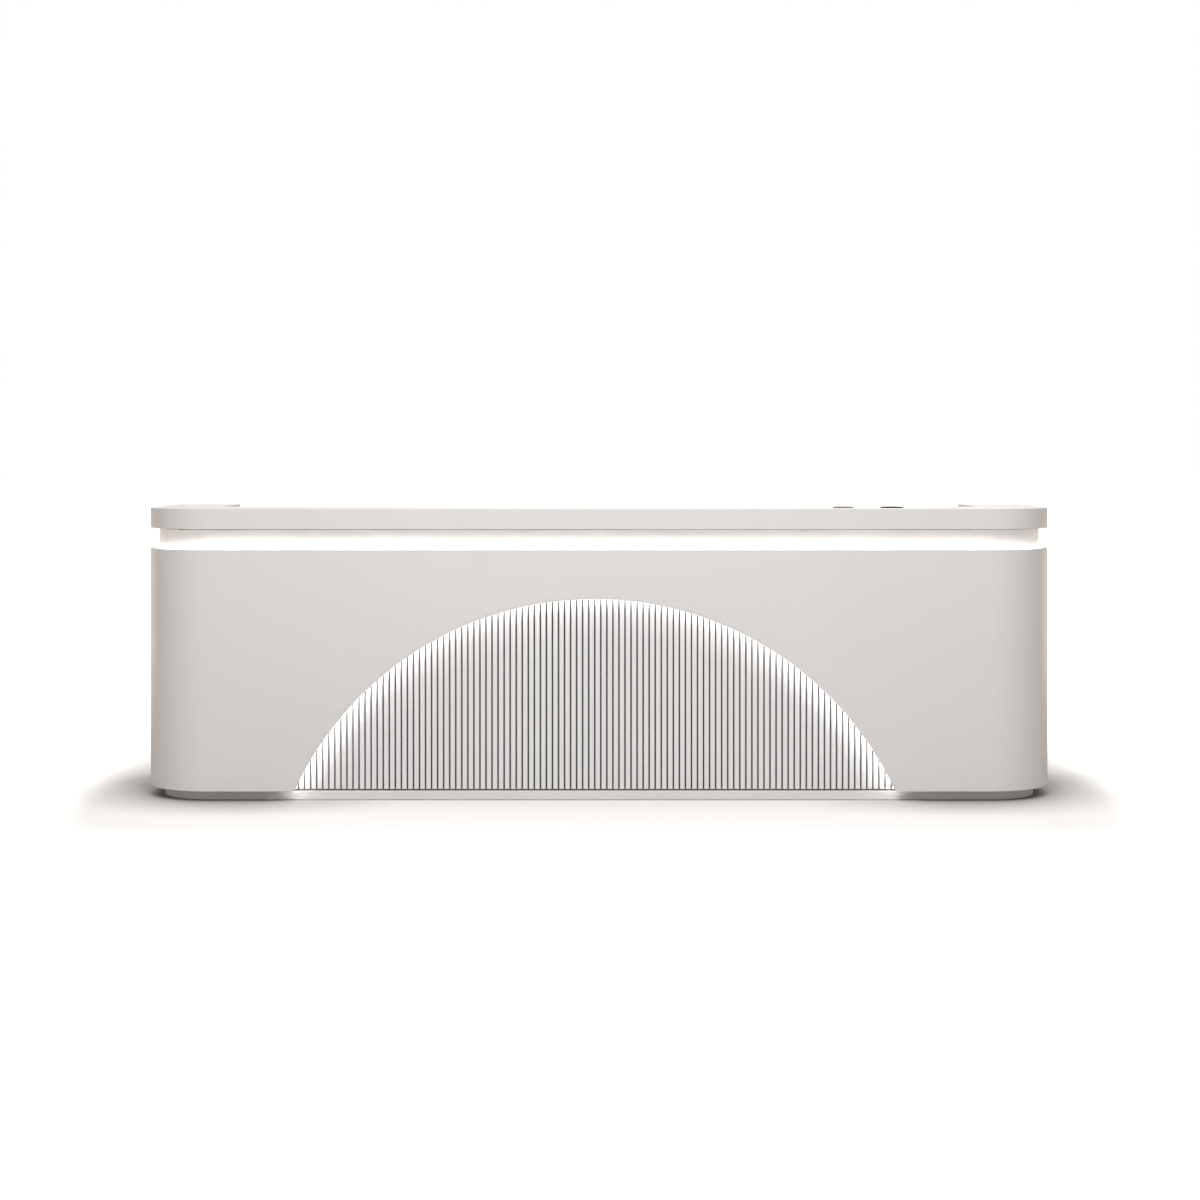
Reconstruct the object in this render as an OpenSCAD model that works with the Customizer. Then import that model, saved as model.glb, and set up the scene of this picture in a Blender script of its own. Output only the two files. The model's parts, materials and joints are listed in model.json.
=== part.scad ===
// Checkout counter: a raised U-shaped customer top over a lit recess, a rounded
// front shell with an arched opening, a backlit fluted panel set into the arch,
// and a staff side with worktop, drawers, cupboard and keyboard tray.
//
// Units are millimetres. +X runs along the counter, to the right as a customer
// sees it. +Y runs from the customer face to the staff edge. +Z is up.
// The origin is on the floor, in the middle of the footprint.

/* [Overall] */
// Overall width
counter_w = 3144; // [3100:4:3300]
// Overall depth, customer face to staff edge
counter_d = 700; // [680:10:760]
// Height of the customer top above the floor
counter_h = 1000; // [980:10:1080]
// Outer radius of the two customer-side corners
corner_r = 230; // [200:5:250]

/* [Customer top] */
// Height of the downturned edge of the top
cap_h = 70; // [60:5:80]
// Depth of the customer ledge
ledge_d = 300; // [280:10:320]
// Width of each wing that runs back from the ledge
wing_w = 234; // [226:1:260]
// Thickness of the folded sheet that the top is made from
cap_sheet_t = 12; // [9:1:15]

/* [Light gap] */
// Height of the lit recess under the top
gap_h = 70; // [60:5:90]
// How far the neck panel stands back from the shell face
gap_inset = 30; // [28:1:36]
// Dark reveal between the neck panel and the top
reveal_h = 3; // [2:1:10]

/* [Body] */
// Thickness of the carcass boards and of the shell
board_t = 18; // [16:1:19]
// Height of the plinth
plinth_h = 35; // [30:5:60]
// How far the plinth stands back from the shell face
plinth_inset = 50; // [45:5:60]
// Shadow gap between the plinth facing and the boards above it
plinth_gap = 6; // [3:1:8]

/* [Arch] */
// Radius of the arched opening in the shell
arch_r = 1132; // [1080:1:1160]
// Height of the crown of the arch above the floor
arch_top = 691; // [640:1:700]
// Sideways offset of the arch from the middle of the counter
arch_x = -15; // [-20:1:20]

/* [Flutes] */
// Distance between neighbouring slats
flute_pitch = 20.8; // [20:0.1:24]
// Width of one slat
flute_w = 15.8; // [14:0.1:17]
// Depth of one slat
flute_d = 12; // [8:1:14]
// Distance from the shell face to the slat faces
flute_set_back = 60; // [54:1:62]

/* [Staff side] */
// Height of the worktop above the floor
worktop_z = 750; // [740:5:760]
// Thickness of the worktop
worktop_t = 25; // [22:1:28]
// Clear width inside the drawer pedestal
pedestal_w = 440; // [420:10:460]
// Clear width inside the cupboard
cupboard_w = 800; // [760:10:840]
// Distance from the staff edge to the cabinet fronts
front_set_back = 50; // [48:1:60]
// Gap between neighbouring drawer and door fronts
front_gap = 3; // [2:1:4]
// Middle of the keyboard tray
tray_x = -50; // [-120:10:60]
// Width of the keyboard tray
tray_w = 600; // [560:10:640]

/* [Fittings] */
// Flange diameter of the grey cable grommet in the top
grey_flange_d = 71; // [66:1:76]
// Flange diameter of the black cable grommet in the top
black_flange_d = 78; // [72:1:84]
// Hole distance of the bar handles
handle_cc = 160; // [128:32:192]
// Length of the drawer runners
runner_len = 480; // [450:10:490]

/* [Hidden] */

$fn = 64;
big_fn = 180;
reach = 5000;

// Colours
lacquer = [0.86, 0.85, 0.84];
dark_board = [0.20, 0.19, 0.19];
primer_grey = [0.52, 0.51, 0.50];
raw_board = [0.72, 0.62, 0.50];
opal = [1.0, 0.98, 0.93];
alloy = [0.75, 0.76, 0.78];
steel = [0.62, 0.63, 0.65];
black_plastic = [0.08, 0.08, 0.08];
lead_white = [0.90, 0.90, 0.88];
grey_plastic = [0.60, 0.60, 0.59];

// Footprint and heights
half_w = counter_w / 2;
y_front = -counter_d / 2;
y_rear = counter_d / 2;
y_shell_end = y_front + corner_r;
cap_z = counter_h - cap_h;
shell_top = cap_z - gap_h;
cap_half = half_w - wing_w;
ledge_rear = y_front + ledge_d;

// Arch and flutes
arch_z = arch_top - arch_r;
slat_y = y_front + flute_set_back;
backing_t = 12;
backing_y = slat_y + flute_d;
board_y = backing_y + backing_t;
inner_y = board_y + board_t;
seam = 0.2;
plinth_end = 20;
kick_back = 38;
slat_chamfer = 1.6;
slat_reach = 30;
shortest_slat = 8;
slat_count = 102;
backing_half = 1075;
rib_x = 1100;
former_zs = [220, 520];

// Light gap
neck_t = 12;
neck_frame_t = 18;
neck_drop = 18;
neck_frame_foot = 42;
ledge_z = shell_top - neck_drop;
led_h = 8;
led_wall = 1.4;
led_slack = 0.5;
opal_t = 2;
arch_led_w = 12;
arch_led_gap = 2;
arch_led_z = plinth_h + 10;

// Staff side
gable_x = cap_half + board_t;
cab_front = y_rear - front_set_back;
worktop_under = worktop_z - worktop_t;
pedestal_x = -cap_half + pedestal_w;
cupboard_x = cap_half - cupboard_w;
rear_panel_y = y_rear - board_t;
shelf_z = 380;
pin_r = 2.5;
pin_l = 18;
pin_out = 8;
divider_xs = [-890, -300, 300, 700];
divider_d = 180;

// Drawers: name, bottom of the front, height of the front
fronts_z = plinth_h + board_t + 3;
fronts_top = worktop_under - 3;
bottom_front_h = 297;
middle_front_h = 213;
middle_front_z = fronts_z + bottom_front_h + front_gap;
top_front_z = middle_front_z + middle_front_h + front_gap;
DRAWERS = [
    ["top_drawer", top_front_z, fronts_top - top_front_z],
    ["middle_drawer", middle_front_z, middle_front_h],
    ["bottom_drawer", fronts_z, bottom_front_h]
];
runner_gap = 13;
box_wall = 12;
box_d = 500;
box_floor_t = 6;
box_lift = 20;
box_drop = 25;
runner_y = cab_front - runner_len - 10;
door_t = 18;
door_y = cab_front + 1;
pivot_y = door_y + door_t / 2;
door_bottom = plinth_h + board_t + 4;
door_top = worktop_under - 4;
left_pivot_x = cupboard_x - board_t + 3 + door_t / 2;
right_pivot_x = cap_half - 6 - door_t / 2;
door_meet_x = (left_pivot_x + right_pivot_x) / 2;
handle_in = 40;
handle_down = 150;
pivot_r = 4;
pivot_fit = 0.05;
pivot_len = 12;
plate_t = 2;
plate_reach = 25;
plate_foot = 30;
plate_over = 8;

// Lock
lock_x = pedestal_x - 60;
lock_z = worktop_under - 25;
lock_r = 9.5;
lock_rim = 2.5;
plug_r = 7;
cam_len = 32;
cam_t = 2;
cam_half = 5;
cam_y = cab_front - 6;
key_slot = [7, 6, 1.6];

// Keyboard tray
tray_y = 35;
tray_d = 300;
tray_z = 640;
tray_t = 16;

// Grommets: centres, and the step that carries the lid
grommet_y = y_front + 150;
grey_x = 849;
black_x = 1018;
worktop_grommet = [250, -150];
worktop_flange_d = 68;
sleeve_wall = 3;
flange_t = 4;
flange_lap = 5.5;
sleeve_len = 25;
lid_t = 5.5;
lid_ledge = 2;
lid_fit = 0.3;
notch_w = 16;
notch_d = 18;

// Light driver and switch
driver = [1020, inner_y, 640];
driver_size = [180, 40, 50];
inlet = [12, 16, 14];
neck_lead_x = 1160;
arch_lead_x = 1080;
switch_lead_x = 1050;
lead_z = 708;
switch_lead_z = worktop_under - 11;
lead_out = 20;
lead_r = 2.5;
lead_hole_r = 4;
cable_hole = [-190, 110];
cable_hole_r = 30;
switch_at = [450, 300, worktop_under];
switch_size = [40, 34, 22];
rocker_r = 5;
rocker_w = 23;
rocker_tilt = 6;
rocker_back = 6;
pocket = [24, 13, 18];
axle_r = 1.5;
axle_l = 28;
axle_bore_l = 30;

// Footprint of the counter, drawn in by inset on the front and the sides.
module footprint(inset, rear = y_rear) {
    r = corner_r - inset;
    x = half_w - inset;
    y = y_front + inset;
    intersection() {
        union() {
            translate([-(x - r), y]) square([2 * (x - r), reach]);
            translate([-x, y + r]) square([2 * x, reach]);
            for (s = [-1, 1])
                translate([s * (x - r), y + r]) circle(r, $fn = big_fn);
        }
        translate([-x, y]) square([2 * x, rear - y]);
    }
}

// U-shaped band between two insets of the footprint.
module band(outer, inner, rear = y_rear) {
    difference() {
        footprint(outer, rear);
        footprint(inner, rear + 1);
    }
}

// U-shaped plan of the customer top, drawn in by inset all round.
module cap_plan(inset) {
    difference() {
        footprint(inset, y_rear - inset);
        translate([-(cap_half + inset), ledge_rear - inset])
            square([2 * (cap_half + inset), reach]);
    }
}

// Box between two opposite corners.
module block(low, high) {
    translate(low) cube(high - low);
}

// The same block on the left and on the right of the counter.
module both_sides(low, high) {
    block(low, high);
    block([-high.x, low.y, low.z], [-low.x, high.y, high.z]);
}

// Disc with its axis along Y, from y low to y high.
module disc_y(x, z, r, low, high, fn = $fn) {
    translate([x, high, z]) rotate([90, 0, 0]) cylinder(r = r, h = high - low, $fn = fn);
}

// Holes for the two cable grommets of the customer top, widened by extra.
module cap_grommet_holes(extra, low, high) {
    for (g = [[grey_x, grey_flange_d], [black_x, black_flange_d]])
        translate([g[0], grommet_y, low])
            cylinder(r = g[1] / 2 - flange_lap + extra, h = high - low);
}

// ---- Base -------------------------------------------------------------

module plinth_front() {
    color(lacquer) linear_extrude(plinth_h - plinth_gap)
        band(plinth_inset, plinth_inset + board_t, y_rear - plinth_end);
}

// Boards under the carcass and the kickboards under the cabinets, one solid each.
module plinth_rails() {
    rail_x = half_w - plinth_inset - board_t;
    rail_y = inner_y + seam;
    kick_y = cab_front - kick_back;
    kick_rear = kick_y + board_t;
    end_y = y_rear - plinth_end;
    color(lacquer) {
        block([-gable_x, board_y, 0], [gable_x, inner_y, plinth_h]);
        both_sides([cap_half, rail_y, 0], [gable_x, end_y, plinth_h]);
        both_sides([gable_x + seam, end_y - board_t, 0], [rail_x, end_y, plinth_h]);
        block([pedestal_x, rail_y, 0], [pedestal_x + board_t, kick_rear, plinth_h]);
        block([cupboard_x - board_t, rail_y, 0], [cupboard_x, kick_rear, plinth_h]);
        block([-cap_half + seam, kick_y, 0], [pedestal_x - seam, kick_rear, plinth_h]);
        block([cupboard_x + seam, kick_y, 0], [cap_half - seam, kick_rear, plinth_h]);
    }
}

// ---- Customer face ----------------------------------------------------

module front_shell() {
    color(lacquer) difference() {
        translate([0, 0, plinth_h])
            linear_extrude(shell_top - plinth_h) band(0, board_t, y_shell_end);
        disc_y(arch_x, arch_z, arch_r, y_front - 10, y_front + board_t + 10, 360);
    }
}

module side_panel(side) {
    outer = side * half_w;
    inner = side * (half_w - board_t);
    color(lacquer)
        block([min(outer, inner), y_shell_end, plinth_h], [max(outer, inner), y_rear, shell_top]);
}

// Plan of the board that fills the shell behind a rounded corner, back to y rear.
module corner_board_plan(rear) {
    difference() {
        intersection() {
            footprint(board_t, rear);
            translate([rib_x, y_front]) square([half_w, counter_d]);
        }
        translate([0, board_y]) square([gable_x, reach]);
    }
}

// Formers behind the rounded corners, and the ledge that carries the neck light.
module shell_formers() {
    color(raw_board) {
        translate([0, 0, ledge_z - board_t]) linear_extrude(board_t) difference() {
            band(board_t, gap_inset + neck_t, rear_panel_y);
            translate([neck_lead_x, y_front + board_t + 6]) circle(lead_hole_r);
        }
        for (z = former_zs, s = [0, 1])
            translate([0, 0, z]) linear_extrude(board_t) mirror([s, 0])
                corner_board_plan(y_shell_end);
    }
}

module flute_backing_board() {
    color(dark_board)
        block([arch_x - backing_half, backing_y, plinth_h],
              [arch_x + backing_half, board_y, arch_top + slat_reach + 10]);
}

// One slat's plan: a rectangle with its two front edges eased.
module slat_plan() {
    w = flute_w / 2;
    c = slat_chamfer;
    polygon([[-w, flute_d], [-w, c], [-w + c, 0], [w - c, 0], [w, c], [w, flute_d]]);
}

module flute_slats() {
    color(lacquer)
        for (i = [0 : slat_count - 1]) {
            x = (i - (slat_count - 1) / 2) * flute_pitch;
            top = arch_z + sqrt(pow(arch_r + slat_reach, 2) - x * x);
            if (top > plinth_h + shortest_slat)
                translate([arch_x + x, slat_y, plinth_h]) linear_extrude(top - plinth_h) slat_plan();
        }
}

// Ring behind the edge of the arch, cut off above the plinth.
module arch_ring(inner, outer, low, high) {
    intersection() {
        difference() {
            disc_y(arch_x, arch_z, outer, low, high, 360);
            disc_y(arch_x, arch_z, inner, low - 1, high + 1, 360);
        }
        block([-reach, low - 1, arch_led_z], [reach, high + 1, reach]);
    }
}

module arch_led_channel() {
    inner = arch_r + arch_led_gap;
    outer = inner + arch_led_w;
    back = y_front + board_t;
    color(alloy) difference() {
        arch_ring(inner, outer, back, back + led_h);
        arch_ring(inner + led_wall, outer - led_wall, back + led_wall, back + led_h + 1);
    }
}

module arch_led_diffuser() {
    inner = arch_r + arch_led_gap + led_wall;
    back = y_front + board_t + led_h;
    color(opal) arch_ring(inner, inner + arch_led_w - 2 * led_wall, back - opal_t, back);
}

// ---- Neck and its light -----------------------------------------------

module neck_frame() {
    inset = gap_inset + neck_t;
    foot = ledge_z - neck_frame_foot;
    color(primer_grey) translate([0, 0, foot])
        linear_extrude(cap_z - foot) band(inset, inset + neck_frame_t, rear_panel_y);
}

module neck_panel() {
    color(lacquer) translate([0, 0, ledge_z])
        linear_extrude(cap_z - reveal_h - ledge_z) band(gap_inset, gap_inset + neck_t);
}

module neck_led_channel() {
    outer = board_t + led_slack;
    inner = gap_inset - led_slack;
    color(alloy) translate([0, 0, ledge_z]) difference() {
        linear_extrude(led_h) band(outer, inner, rear_panel_y);
        translate([0, 0, led_wall])
            linear_extrude(led_h) band(outer + led_wall, inner - led_wall, rear_panel_y + 1);
    }
}

module neck_led_diffuser() {
    outer = board_t + led_slack + led_wall;
    inner = gap_inset - led_slack - led_wall;
    color(opal) translate([0, 0, ledge_z + led_h - opal_t])
        linear_extrude(opal_t) band(outer, inner, rear_panel_y);
}

// ---- Customer top -----------------------------------------------------

module cap_top() {
    color(lacquer) difference() {
        translate([0, 0, cap_z]) linear_extrude(cap_h) cap_plan(0);
        translate([0, 0, cap_z - 1]) linear_extrude(cap_h - cap_sheet_t + 1) cap_plan(cap_sheet_t);
        cap_grommet_holes(0, cap_z, counter_h + 1);
    }
}

module cap_core() {
    low = cap_z + cap_sheet_t;
    high = counter_h - cap_sheet_t;
    color(raw_board) difference() {
        translate([0, 0, low]) linear_extrude(high - low) cap_plan(cap_sheet_t);
        cap_grommet_holes(1, low - 1, high + 1);
    }
}

module cap_soffit() {
    color(lacquer) difference() {
        translate([0, 0, cap_z]) linear_extrude(cap_sheet_t) cap_plan(cap_sheet_t);
        cap_grommet_holes(1, cap_z - 1, cap_z + cap_sheet_t + 1);
    }
}

// ---- Carcass ----------------------------------------------------------

module front_board() {
    color(lacquer) difference() {
        block([-gable_x, board_y, plinth_h], [gable_x, inner_y, cap_z]);
        for (x = [neck_lead_x, arch_lead_x])
            disc_y(x, lead_z, lead_hole_r, board_y - 1, inner_y + 1);
    }
}

module wing_gables() {
    color(lacquer) difference() {
        both_sides([cap_half, inner_y, plinth_h], [gable_x, rear_panel_y, cap_z]);
        shelf_pins();
    }
}

// Closes the staff end of each wing, notched round the neck.
module wing_rear_panels() {
    x_shell = half_w - board_t;
    x_led = half_w - gap_inset;
    x_neck = x_led - neck_t;
    color(lacquer) for (s = [0, 1]) mirror([s, 0, 0])
        translate([0, y_rear, 0]) rotate([90, 0, 0]) linear_extrude(board_t) polygon([
            [cap_half, plinth_h], [x_shell, plinth_h], [x_shell, shell_top],
            [x_led, shell_top], [x_led, ledge_z], [x_neck, ledge_z],
            [x_neck, cap_z], [cap_half, cap_z]
        ]);
}

module worktop() {
    color(lacquer) difference() {
        block([-cap_half, inner_y, worktop_under], [cap_half, y_rear, worktop_z]);
        translate([worktop_grommet.x, worktop_grommet.y, worktop_under - 1])
            cylinder(r = worktop_flange_d / 2 - flange_lap, h = worktop_t + 2);
        block([lock_x - cam_len, cam_y - cam_t, worktop_under - 1],
              [lock_x + lock_r + lock_rim, cam_y + 2 * cam_t, worktop_under + 10]);
    }
}

// Inner sides of the two cabinets. The cupboard's has a cable hole and a lead hole.
module cabinet_gables() {
    color(lacquer) difference() {
        for (x = [pedestal_x, cupboard_x - board_t])
            block([x, inner_y, plinth_h], [x + board_t, cab_front, worktop_under]);
        translate([cupboard_x - board_t - 1, cable_hole.x, cable_hole.y]) rotate([0, 90, 0])
            cylinder(r = cable_hole_r, h = board_t + 2);
        translate([cupboard_x - board_t - 1, inner_y + lead_out, switch_lead_z])
            rotate([0, 90, 0]) cylinder(r = lead_hole_r, h = board_t + 2);
        shelf_pins();
        carcass_screws();
    }
}

// Floors of the two cabinets and of the two wings.
module bottom_boards() {
    top = plinth_h + board_t;
    color(lacquer) {
        difference() {
            union() {
                block([-cap_half, inner_y, plinth_h], [pedestal_x, cab_front, top]);
                block([cupboard_x, inner_y, plinth_h], [cap_half, cab_front, top]);
            }
            carcass_screws();
        }
        for (s = [0, 1])
            translate([0, 0, plinth_h]) linear_extrude(board_t) mirror([s, 0])
                corner_board_plan(rear_panel_y);
    }
}

module cupboard_shelf() {
    color(lacquer)
        block([cupboard_x + 1, inner_y + 1, shelf_z], [cap_half - 1, cab_front - 20, shelf_z + board_t]);
}

module shelf_pins() {
    color(steel) for (y = [inner_y + 60, cab_front - 80])
        for (x = [cupboard_x - pin_l + pin_out, cap_half - pin_out])
            translate([x, y, shelf_z - pin_r]) rotate([0, 90, 0]) cylinder(r = pin_r, h = pin_l);
}

module niche_dividers() {
    color(lacquer) for (x = divider_xs)
        block([x - board_t / 2, inner_y, worktop_z], [x + board_t / 2, inner_y + divider_d, cap_z]);
}

// Countersunk screws through the knee-space faces of the cabinet gables.
module carcass_screws() {
    head_r = 4.5;
    head_h = 3;
    shank_r = 2.2;
    shank_l = 45;
    z = plinth_h + board_t / 2;
    color(steel) for (y = [inner_y + 60, 30, cab_front - 60])
        for (side = [[pedestal_x + board_t, -1], [cupboard_x - board_t, 1]])
            translate([side[0], y, z]) rotate([0, 90 * side[1], 0]) {
                cylinder(r1 = head_r, r2 = shank_r, h = head_h);
                cylinder(r = shank_r, h = shank_l);
            }
}

// ---- Cable grommets ---------------------------------------------------

// Sleeve through the board, with a flange that stands on the surface at height top.
module grommet_sleeve(at, top, flange_d, tint) {
    outer = flange_d / 2 - flange_lap;
    inner = outer - sleeve_wall;
    low = top - sleeve_len;
    rim = top + flange_t;
    color(tint) translate([at.x, at.y, 0]) difference() {
        union() {
            translate([0, 0, top]) cylinder(r = flange_d / 2, h = flange_t);
            translate([0, 0, low]) cylinder(r = outer, h = rim - low);
        }
        translate([0, 0, rim - lid_t]) cylinder(r = inner, h = lid_t + 1);
        translate([0, 0, low - 1]) cylinder(r = inner - lid_ledge, h = rim - low);
    }
}

// Lid with a notch for the cable; it lies level with its flange and turns there.
module grommet_lid(at, top, flange_d, tint) {
    r = flange_d / 2 - flange_lap - sleeve_wall - lid_fit;
    color(tint) translate([at.x, at.y, top + flange_t - lid_t]) difference() {
        cylinder(r = r, h = lid_t);
        block([-notch_w / 2, r - notch_d, -1], [notch_w / 2, r + 1, lid_t + 1]);
    }
}

// ---- Drawers ----------------------------------------------------------

// Section of the cabinet member of a runner: a lipped channel, in x and z.
module channel_section() {
    difference() {
        translate([0, -15]) square([8, 30]);
        translate([1.5, -13.5]) square([5, 27]);
        translate([1.5, -8]) square([8, 16]);
    }
}

// Section of the moving member: a head inside the channel, a stem and a web.
module slider_section() {
    translate([3, -12]) square([2, 24]);
    translate([4, -5]) square([8, 10]);
    translate([11.5, -12]) square([1.5, 24]);
}

// Runs a section along Y, from y low to y high, at x and z; side -1 turns it round.
module run_section(x, z, low, high, side = 1) {
    translate([x, high, z]) mirror([side < 0 ? 1 : 0, 0, 0]) rotate([90, 0, 0])
        linear_extrude(high - low) children();
}

function runner_z(d) = d[1] + d[2] / 2;

module cabinet_runners() {
    color(steel) for (d = DRAWERS) {
        run_section(-cap_half, runner_z(d), runner_y, cab_front - 10) channel_section();
        run_section(pedestal_x, runner_z(d), runner_y, cab_front - 10, -1) channel_section();
    }
}

module drawer_runners(d) {
    color(steel) {
        run_section(-cap_half, runner_z(d), runner_y, cab_front - 2) slider_section();
        run_section(pedestal_x, runner_z(d), runner_y, cab_front - 2, -1) slider_section();
    }
}

module drawer_front(d) {
    color(lacquer) difference() {
        block([-cap_half + front_gap, cab_front, d[1]],
              [pedestal_x + board_t - front_gap, cab_front + board_t, d[1] + d[2]]);
        if (d[0] == "top_drawer")
            disc_y(lock_x, lock_z, lock_r, cab_front - 1, cab_front + board_t + 1);
    }
}

// Four boards: two sides, a back and a floor that is housed between them.
module drawer_box(d) {
    x0 = -cap_half + runner_gap;
    x1 = pedestal_x - runner_gap;
    y0 = cab_front - box_d;
    z0 = d[1] + box_lift;
    z1 = d[1] + d[2] - box_drop;
    in0 = x0 + box_wall + seam;
    in1 = x1 - box_wall - seam;
    floor_z = z0 + 8;
    color(raw_board) {
        block([x0, y0, z0], [x0 + box_wall, cab_front, z1]);
        block([x1 - box_wall, y0, z0], [x1, cab_front, z1]);
        block([in0, y0, z0], [in1, y0 + box_wall, z1]);
        block([in0, y0 + box_wall + seam, floor_z], [in1, cab_front, floor_z + box_floor_t]);
    }
}

// Bar handle on two posts. The bar runs along X, or along Z when upright.
module bar_handle(x, z, y, upright = false) {
    bar_r = 5;
    post_r = 4;
    bar_y = y + 22;
    over = 20;
    color(steel) translate([x, 0, z]) rotate([0, upright ? 90 : 0, 0]) {
        translate([-handle_cc / 2 - over, bar_y, 0]) rotate([0, 90, 0])
            cylinder(r = bar_r, h = handle_cc + 2 * over);
        for (s = [-1, 1]) disc_y(s * handle_cc / 2, 0, post_r, y, bar_y);
    }
}

module drawer_handle(d) {
    bar_handle((-cap_half + pedestal_x + board_t) / 2, d[1] + d[2] / 2, cab_front + board_t);
}

module lock_barrel() {
    face = cab_front + board_t;
    color(steel) difference() {
        union() {
            disc_y(lock_x, lock_z, lock_r, cab_front, face);
            disc_y(lock_x, lock_z, lock_r + lock_rim, face, face + 2);
        }
        disc_y(lock_x, lock_z, plug_r, cab_front - 1, face + 3);
    }
}

// Key plug with its cam, which lies sideways when the drawer is unlocked.
module lock_plug() {
    face = cab_front + board_t + 2.5;
    color(steel) {
        difference() {
            disc_y(lock_x, lock_z, plug_r - pivot_fit, cam_y, face);
            block([lock_x - key_slot.x / 2, face - key_slot.y, lock_z - key_slot.z / 2],
                  [lock_x + key_slot.x / 2, face + 1, lock_z + key_slot.z / 2]);
        }
        block([lock_x - cam_len, cam_y, lock_z - cam_half],
              [lock_x + cam_half, cam_y + cam_t, lock_z + cam_half]);
    }
}

// ---- Keyboard tray ----------------------------------------------------

tray_x0 = tray_x - tray_w / 2;
tray_x1 = tray_x + tray_w / 2;
tray_mid = tray_z + tray_t / 2;

module keyboard_tray() {
    color(lacquer) block([tray_x0, tray_y, tray_z], [tray_x1, tray_y + tray_d, tray_z + tray_t]);
}

module tray_runners() {
    color(steel) {
        run_section(tray_x0 - runner_gap, tray_mid, tray_y, tray_y + tray_d - 10) slider_section();
        run_section(tray_x1 + runner_gap, tray_mid, tray_y, tray_y + tray_d - 10, -1)
            slider_section();
    }
}

// Hanger: the runner channel on a plate that turns out under the worktop.
module hanger_section() {
    top = worktop_under - tray_mid;
    channel_section();
    translate([-2, -15]) square([2.01, top + 15]);
    translate([-24, top - 2]) square([22.01, 2]);
}

module tray_hangers() {
    color(steel) {
        run_section(tray_x0 - runner_gap, tray_mid, tray_y, tray_y + tray_d - 15) hanger_section();
        run_section(tray_x1 + runner_gap, tray_mid, tray_y, tray_y + tray_d - 15, -1)
            hanger_section();
    }
}

// ---- Cupboard doors ---------------------------------------------------

// Door from its pivot line to the meeting line, its hinge edge rounded about the pivot.
module door(pivot_x, meet_x) {
    r = door_t / 2;
    color(lacquer) difference() {
        union() {
            block([min(pivot_x, meet_x), door_y, door_bottom],
                  [max(pivot_x, meet_x), door_y + door_t, door_top]);
            translate([pivot_x, pivot_y, door_bottom]) cylinder(r = r, h = door_top - door_bottom);
        }
        for (z = [door_bottom - 1, door_top - pivot_len + 1])
            translate([pivot_x, pivot_y, z]) cylinder(r = pivot_r + pivot_fit, h = pivot_len);
    }
}

module left_door() {
    door(left_pivot_x, door_meet_x - front_gap / 2);
}

module right_door() {
    door(right_pivot_x, door_meet_x + front_gap / 2);
}

// One hinge plate: a foot inside the cabinet side, and a tongue that reaches the pin.
module pivot_plate(pivot_x, side_x, inward, z) {
    far = side_x + inward * plate_reach;
    near = side_x + inward;
    tip = pivot_x - inward * plate_over;
    block([min(near, far), cab_front - plate_foot, z], [max(near, far), door_y, z + plate_t]);
    block([min(tip, far), door_y, z], [max(tip, far), pivot_y + plate_over, z + plate_t]);
}

// Plates on the cupboard floor and under the worktop, each with its pin.
module door_pivots() {
    low = plinth_h + board_t;
    pin_low = door_top - pivot_len + 2;
    color(steel) for (side = [[left_pivot_x, cupboard_x, 1], [right_pivot_x, cap_half, -1]]) {
        pivot_plate(side[0], side[1], side[2], low);
        pivot_plate(side[0], side[1], side[2], worktop_under - plate_t);
        translate([side[0], pivot_y, low])
            cylinder(r = pivot_r, h = door_bottom + pivot_len - 2 - low);
        translate([side[0], pivot_y, pin_low]) cylinder(r = pivot_r, h = worktop_under - pin_low);
    }
}

module door_handle(side) {
    bar_handle(door_meet_x + side * handle_in, door_top - handle_down, door_y + door_t, true);
}

// ---- Lighting ---------------------------------------------------------

// Driver case on the back of the front board, with its mains inlet in one end.
module led_driver() {
    y = driver.y + (driver_size.y - inlet.y) / 2;
    z = driver.z + (driver_size.z - inlet.z) / 2;
    color(black_plastic) difference() {
        block(driver, driver + driver_size);
        block([driver.x - 1, y, z], [driver.x + inlet.x, y + inlet.y, z + inlet.z]);
    }
}

// A lead of round section through the listed points, with a slightly larger ball at each turn.
module lead(points) {
    for (i = [0 : len(points) - 2]) {
        a = points[i];
        d = points[i + 1] - a;
        l = norm(d);
        translate(a) rotate([0, acos(d.z / l), atan2(d.y, d.x)])
            cylinder(r = lead_r, h = l, $fn = 24);
        if (i > 0) translate(a) sphere(lead_r + 0.1, $fn = 24);
    }
}

module led_leads() {
    out_y = inner_y + lead_out;
    top = driver.z + driver_size.z;
    cavity_y = y_front + 50;
    led_y = y_front + board_t + 6;
    arch_end = round(arch_x + sqrt(pow(arch_r + arch_led_gap + arch_led_w / 2, 2)
                                   - pow(arch_led_z - arch_z, 2)));
    color(lead_white) {
        lead([[switch_at.x, switch_at.y, switch_lead_z], [switch_at.x, out_y, switch_lead_z],
              [switch_lead_x, out_y, switch_lead_z], [switch_lead_x, out_y, top]]);
        lead([[neck_lead_x, out_y, top], [neck_lead_x, out_y, lead_z],
              [neck_lead_x, led_y, lead_z], [neck_lead_x, led_y, ledge_z]]);
        lead([[arch_lead_x, out_y, top], [arch_lead_x, out_y, lead_z],
              [arch_lead_x, cavity_y, lead_z], [arch_lead_x, cavity_y, plinth_h + 5],
              [arch_end, led_y, plinth_h + 5], [arch_end, led_y, arch_led_z]]);
    }
}

rocker_y = switch_at.y + switch_size.y - rocker_back;
rocker_z = switch_at.z - switch_size.z / 2;

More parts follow.
